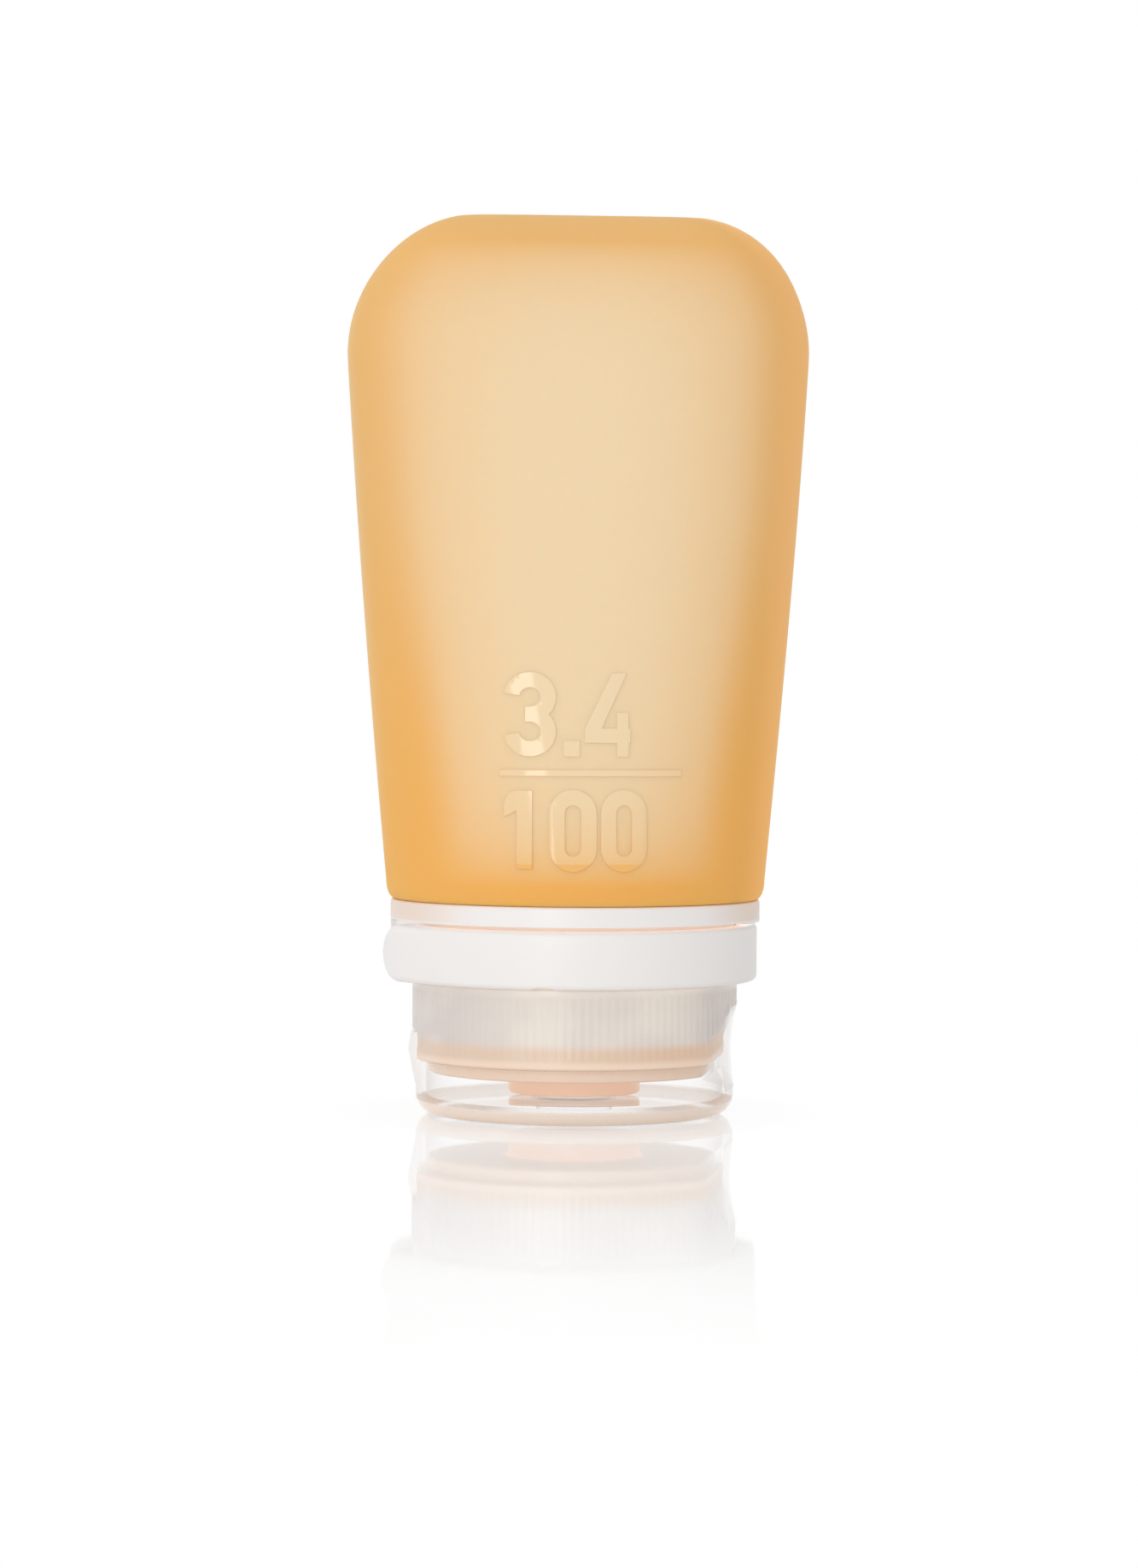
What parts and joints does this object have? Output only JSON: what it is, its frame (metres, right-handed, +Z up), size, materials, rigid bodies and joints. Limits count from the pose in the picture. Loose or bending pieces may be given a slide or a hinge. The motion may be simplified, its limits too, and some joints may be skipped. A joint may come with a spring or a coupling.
{
  "type": "travel bottle",
  "caption": "Squeezable travel bottle: soft flat-ended tube in a stiff collar with a hanging strap, closed by a screw cap with a flip-open lid and a slit valve.",
  "frame": {"origin": "centre of the lid's flat face, which the bottle stands on", "axes": "+Z up the bottle from the lid to the tube's flat end, X across the tube's wide direction, -Y the front with the numerals"},
  "size_m": [0.0538, 0.0444, 0.1038],
  "materials": {
    "amber_silicone": "soft matt translucent silicone",
    "seal_silicone": "thin satin silicone",
    "white_plastic": "satin moulded polypropylene",
    "frosted_plastic": "milky translucent polypropylene with fine grip ribs",
    "clear_plastic": "clear glossy polypropylene"
  },
  "bodies": {
    "bottle": {"squeeze_tube": "amber_silicone", "collar": "white_plastic"},
    "loop": {"hang_loop": "white_plastic"},
    "seal": {"cap_seal": "seal_silicone"},
    "cap": {"cap_base": "frosted_plastic", "spout_valve": "seal_silicone", "valve_retainer": "white_plastic", "hinge_strap": "clear_plastic"},
    "lid": {"flip_lid": "clear_plastic"}
  },
  "joints": [
    {"name": "loop_hinge", "type": "hinge", "parent": "bottle", "child": "loop", "pos_m": [0.01992, 0.00174, 0.019], "axis": [0, 0, 1], "range_deg": [0, 90]},
    {"name": "cap_lift", "type": "slide", "parent": "bottle", "child": "seal", "axis": [0, 0, -1], "range_m": [0, 0.0083]},
    {"name": "cap_turn", "type": "hinge", "parent": "seal", "child": "cap", "pos_m": [0, 0, 0.011], "axis": [0, 0, -1], "range_deg": [0, 990]},
    {"name": "lid_hinge", "type": "hinge", "parent": "cap", "child": "lid", "pos_m": [0.01617, -0.00373, 0.00645], "axis": [-0.225, -0.9744, 0], "range_deg": [0, 115], "deforming": ["hinge_strap"]}
  ],
  "couplings": [
    {"joint": "cap_lift", "follows": "cap_turn", "m_per_rad": 0.00047746}
  ]
}
